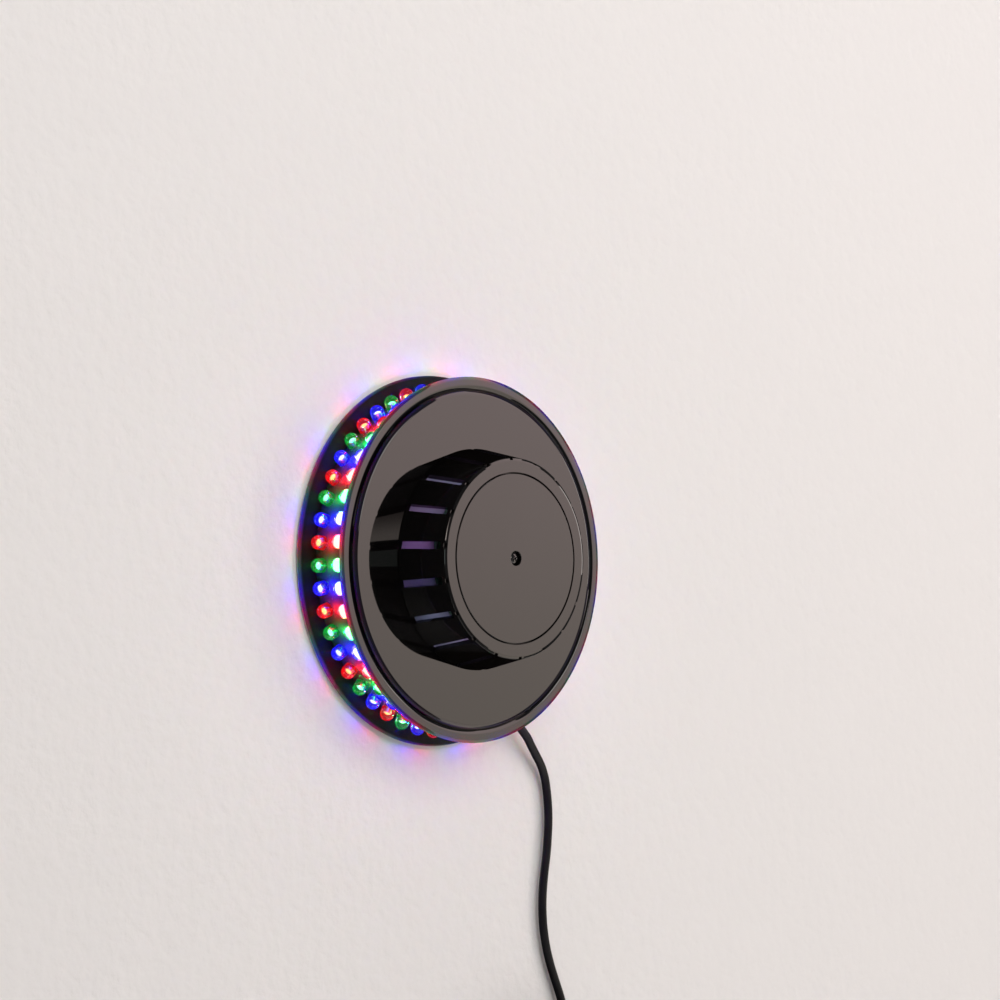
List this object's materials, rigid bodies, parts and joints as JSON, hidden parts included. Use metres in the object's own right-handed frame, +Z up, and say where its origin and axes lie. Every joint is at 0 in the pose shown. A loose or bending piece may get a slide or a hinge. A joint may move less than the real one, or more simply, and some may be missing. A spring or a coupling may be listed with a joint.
{
  "type": "disco light",
  "caption": "Round black wall disco light: rows of clear LEDs between two discs, a slotted tapered hub in front, and a lead with a plug.",
  "frame": {"origin": "middle of the lamp's flat back face, in the plane of the wall", "axes": "+Z up, +X to the right as seen from the room, +Y into the wall, so the lamp stands out towards -Y"},
  "size_m": [0.1353, 0.041, 0.296],
  "materials": {
    "black_gloss": "black ABS, polished to a mirror gloss",
    "black_satin": "black moulded plastic, satin",
    "black_cable": "black PVC cable jacket, half gloss",
    "plug_black": "black moulded plug, finely textured",
    "pin_nickel": "nickel plated brass",
    "screw_steel": "zinc plated steel",
    "led_red": "clear epoxy, lit red",
    "led_green": "clear epoxy, lit green",
    "led_blue": "clear epoxy, lit blue",
    "board_green": "glass fibre board under green solder mask",
    "component_black": "black moulded component plastic",
    "film_box": "red-brown dipped film capacitor",
    "can_sleeve": "dark blue shrink sleeve",
    "capsule_metal": "drawn aluminium capsule",
    "ribbon_grey": "grey flat cable"
  },
  "bodies": {
    "lamp": {"rear_cover": "black_gloss", "front_cover": "black_gloss", "hub_housing": "black_gloss", "hub_cap": "black_gloss", "led_drum": "black_satin", "mode_switch_case": "component_black", "hub_cap_screw": "screw_steel", "cover_screw_1": "screw_steel", "cover_screw_2": "screw_steel", "cover_screw_3": "screw_steel", "hub_screw_1": "screw_steel", "hub_screw_2": "screw_steel", "hub_screw_3": "screw_steel", "clamp_screw_1": "screw_steel", "clamp_screw_2": "screw_steel", "rear_leds_red": "led_red", "front_leds_red": "led_red", "rear_leds_green": "led_green", "front_leds_green": "led_green", "rear_leds_blue": "led_blue", "front_leds_blue": "led_blue", "led_board": "board_green", "driver_board": "board_green", "film_capacitor": "film_box", "smoothing_capacitor": "can_sleeve", "controller_chip": "component_black", "bridge_rectifier": "component_black", "red_transistor": "component_black", "green_transistor": "component_black", "blue_transistor": "component_black", "microphone": "capsule_metal", "ribbon_cable": "ribbon_grey", "inner_lead": "black_cable", "lead_clamp": "black_satin", "strain_relief": "black_cable", "cord_lead": "black_cable", "cord_coil": "black_cable", "cord_tail": "black_cable", "cord_tie": "black_satin", "plug_body": "plug_black", "plug_pin_1": "pin_nickel", "plug_pin_2": "pin_nickel"},
    "switch_slider": {"mode_slider": "black_satin"}
  },
  "joints": [
    {"name": "mode_slide", "type": "slide", "parent": "lamp", "child": "switch_slider", "axis": [1, 0, 0], "range_m": [0, 0.003]}
  ]
}
